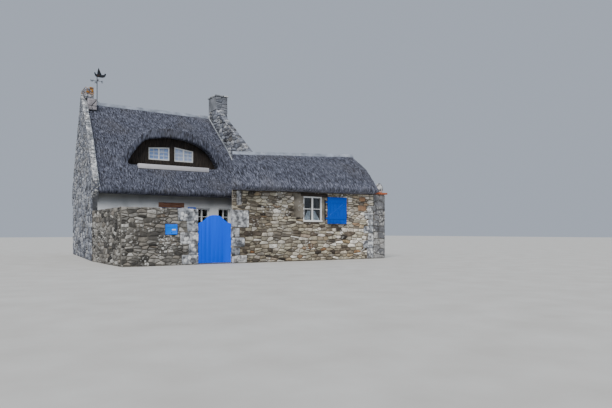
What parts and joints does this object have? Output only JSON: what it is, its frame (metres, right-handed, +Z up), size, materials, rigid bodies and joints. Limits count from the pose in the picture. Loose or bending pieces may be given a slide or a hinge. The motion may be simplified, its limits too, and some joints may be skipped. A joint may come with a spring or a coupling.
{
  "type": "thatched stone cottage",
  "caption": "Thatched cottage: main range with an eyebrow dormer and two chimneys, low front wing with a blue shutter, walled courtyard with a blue gate, and a weather vane.",
  "frame": {"origin": "middle of the footprint, at ground level", "axes": "+X along the street to the right, +Y back from the street, +Z up"},
  "size_m": [9.6456, 11.045, 7.33],
  "materials": {
    "thatch": "weathered reed thatch, slate grey",
    "mortar": "lime mortar, weathered",
    "rubble_stone": "rubble stone walling with lichen",
    "dressed_stone": "dressed granite blocks",
    "white_render": "white lime render",
    "terracotta": "terracotta tile",
    "blue_paint": "bright blue paint, satin",
    "blue_boards": "bright blue painted boards, satin",
    "white_paint": "white painted wood",
    "dark_timber": "dark weathered timber",
    "red_timber": "reddish brown timber",
    "floor_boards": "planed floor boards",
    "window_glass": "clear window glass",
    "dark_iron": "black painted iron",
    "white_cloth": "thin white curtain cloth"
  },
  "bodies": {
    "cottage": {"courtyard_side_wall": "rubble_stone", "dormer_curtain": "white_cloth", "dormer_front": "dark_timber", "dormer_glass": "window_glass", "dormer_ledge": "white_paint", "dormer_window_left_frame": "white_paint", "dormer_window_right_frame": "white_paint", "garden_wall": "rubble_stone", "gate_hinge_bar": "dark_iron", "left_chimney": "rubble_stone", "left_chimney_base": "dressed_stone", "left_fillet_back": "mortar", "left_fillet_front": "mortar", "left_gable_coping": "dressed_stone", "left_gable_wall": "rubble_stone", "letter_box": "blue_paint", "main_back_wall": "white_render", "main_back_window_frame": "white_paint", "main_back_window_glass": "window_glass", "main_door": "blue_boards", "main_door_lintel": "red_timber", "main_front_wall": "white_render", "main_ground_floor": "dressed_stone", "main_ridge_cap": "mortar", "main_shutter": "blue_boards", "main_thatch_back": "thatch", "main_thatch_front": "thatch", "main_upper_floor": "floor_boards", "main_window_a_frame": "white_paint", "main_window_a_glass": "window_glass", "main_window_b_frame": "white_paint", "main_window_b_glass": "window_glass", "party_wall": "rubble_stone", "party_wall_fillet": "mortar", "pier_capstone": "dressed_stone", "pier_tile": "terracotta", "right_chimney": "rubble_stone", "right_chimney_cap": "dressed_stone", "right_pier": "dressed_stone", "shutter_hinge_bar": "dark_iron", "shutter_stop": "dark_iron", "vane_mast": "dark_iron", "wing_back_wall": "rubble_stone", "wing_curtain_left": "white_cloth", "wing_curtain_right": "white_cloth", "wing_floor": "dressed_stone", "wing_front_wall": "rubble_stone", "wing_left_wall": "rubble_stone", "wing_lintel": "dark_timber", "wing_ridge_cap": "mortar", "wing_right_wall": "rubble_stone", "wing_thatch_back": "thatch", "wing_thatch_front": "thatch", "wing_window_frame": "white_paint", "wing_window_glass": "window_glass"},
    "gate": {"gate_leaf": "blue_boards"},
    "shutter": {"wing_shutter": "blue_boards"},
    "vane": {"vane_boat": "dark_iron"}
  },
  "joints": [
    {"name": "gate_hinge", "type": "hinge", "parent": "cottage", "child": "gate", "pos_m": [-2.5252, -5.0745, 0.7], "axis": [0, 0, 1], "range_deg": [0, 90]},
    {"name": "shutter_hinge", "type": "hinge", "parent": "cottage", "child": "shutter", "pos_m": [2.0227, -5.2545, 1.7], "axis": [0, 0, -1], "range_deg": [0, 180]},
    {"name": "vane_spin", "type": "hinge", "parent": "cottage", "child": "vane", "pos_m": [-3.8472, 1.7775, 6.95], "axis": [0, 0, 1], "continuous": true}
  ]
}
